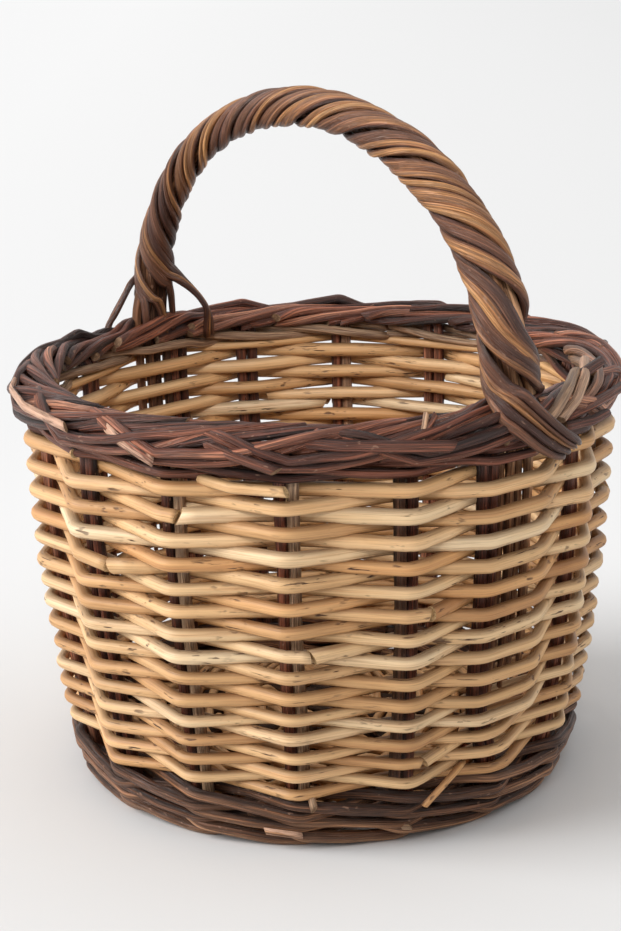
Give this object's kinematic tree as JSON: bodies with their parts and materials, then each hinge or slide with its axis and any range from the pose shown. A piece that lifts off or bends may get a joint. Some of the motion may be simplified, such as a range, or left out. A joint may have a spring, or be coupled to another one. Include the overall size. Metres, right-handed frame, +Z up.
{
  "type": "fruit picking basket",
  "caption": "Round willow basket with a tall arched roped handle: buff side weave on dark paired stakes, dark foot wale and a laid border, for carrying picked fruit.",
  "frame": {"origin": "middle of the foot, on the surface that the basket stands on", "axes": "+Z up; X along the handle's span, from one handle foot to the other; Y across the handle"},
  "size_m": [0.3208, 0.2996, 0.344],
  "materials": {
    "base_sticks": "thick rods with brown bark, matt",
    "base_weave": "peeled buff willow, satin",
    "stakes": "rods in dark brown bark, satin",
    "foot_wale": "rods in dark brown bark, satin",
    "rim_wale": "rods in dark brown bark, satin",
    "side_weave": "peeled buff willow, satin",
    "handle_bow": "thick rod in brown bark, satin",
    "handle_rope": "golden brown rods with darker bands, smooth"
  },
  "bodies": {
    "root": {"slit_stick_1": "base_sticks", "threaded_stick_1": "base_sticks", "slit_stick_2": "base_sticks", "threaded_stick_2": "base_sticks", "slit_stick_3": "base_sticks", "threaded_stick_3": "base_sticks", "slit_stick_4": "base_sticks", "threaded_stick_4": "base_sticks", "base_weaver_a": "base_weave", "base_weaver_b": "base_weave", "stake_pair_01": "stakes", "stake_pair_02": "stakes", "stake_pair_03": "stakes", "stake_pair_04": "stakes", "stake_pair_05": "stakes", "stake_pair_06": "stakes", "stake_pair_07": "stakes", "stake_pair_08": "stakes", "stake_pair_09": "stakes", "stake_pair_10": "stakes", "stake_pair_11": "stakes", "stake_pair_12": "stakes", "stake_pair_13": "stakes", "stake_pair_14": "stakes", "stake_pair_15": "stakes", "stake_pair_16": "stakes", "foot_wale_low_1": "foot_wale", "foot_wale_high_1": "foot_wale", "rim_wale_1": "rim_wale", "foot_wale_low_2": "foot_wale", "foot_wale_high_2": "foot_wale", "rim_wale_2": "rim_wale", "foot_wale_low_3": "foot_wale", "foot_wale_high_3": "foot_wale", "rim_wale_3": "rim_wale", "side_weaver_01": "side_weave", "side_weaver_02": "side_weave", "side_weaver_03": "side_weave", "side_weaver_04": "side_weave", "side_weaver_05": "side_weave", "side_weaver_06": "side_weave", "side_weaver_07": "side_weave", "side_weaver_08": "side_weave", "side_weaver_09": "side_weave", "side_weaver_10": "side_weave", "side_weaver_11": "side_weave", "side_weaver_12": "side_weave", "side_weaver_13": "side_weave", "side_weaver_14": "side_weave", "handle_bow": "handle_bow", "handle_rope_1": "handle_rope", "handle_rope_2": "handle_rope", "handle_rope_3": "handle_rope", "handle_rope_4": "handle_rope", "handle_rope_5": "handle_rope", "handle_rope_6": "handle_rope", "handle_rope_7": "handle_rope", "handle_rope_8": "handle_rope"}
  },
  "joints": []
}
